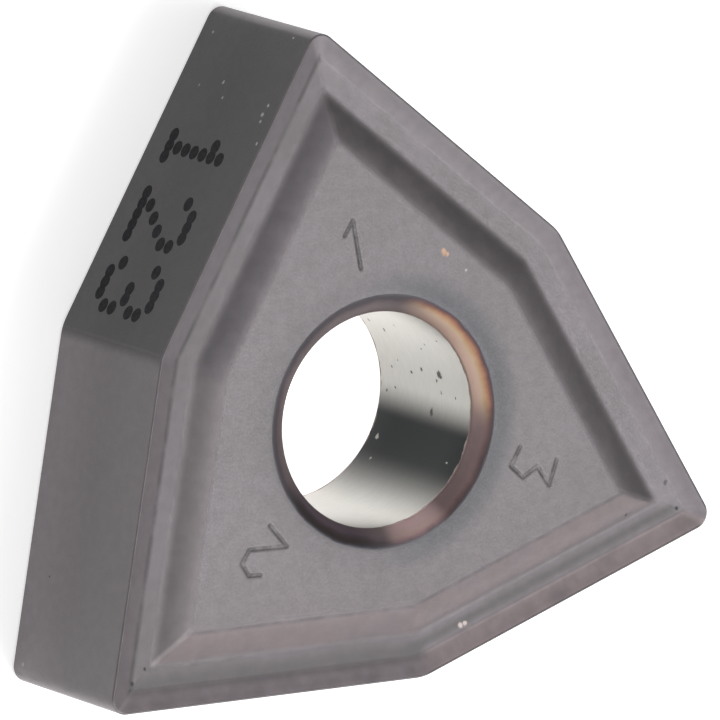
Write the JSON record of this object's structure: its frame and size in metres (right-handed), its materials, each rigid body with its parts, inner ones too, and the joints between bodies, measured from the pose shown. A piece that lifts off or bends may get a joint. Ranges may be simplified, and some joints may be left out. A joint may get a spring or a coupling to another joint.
{
  "type": "carbide turning insert",
  "caption": "Three-cornered double-sided carbide turning insert with pressed chip former, raised seating pads, square flanks and a central clamping bore.",
  "frame": {"origin": "centre of the central bore at mid-thickness, which is also the centre of the inscribed circle", "axes": "+Z along the bore axis out of the upper pad, +Y towards one cutting corner, +X to the right of it; the insert lies on its lower pad"},
  "size_m": [0.0168, 0.0161, 0.0048],
  "materials": {
    "coated_carbide": "satin"
  },
  "bodies": {
    "root": {"insert_body": "coated_carbide"}
  },
  "joints": []
}
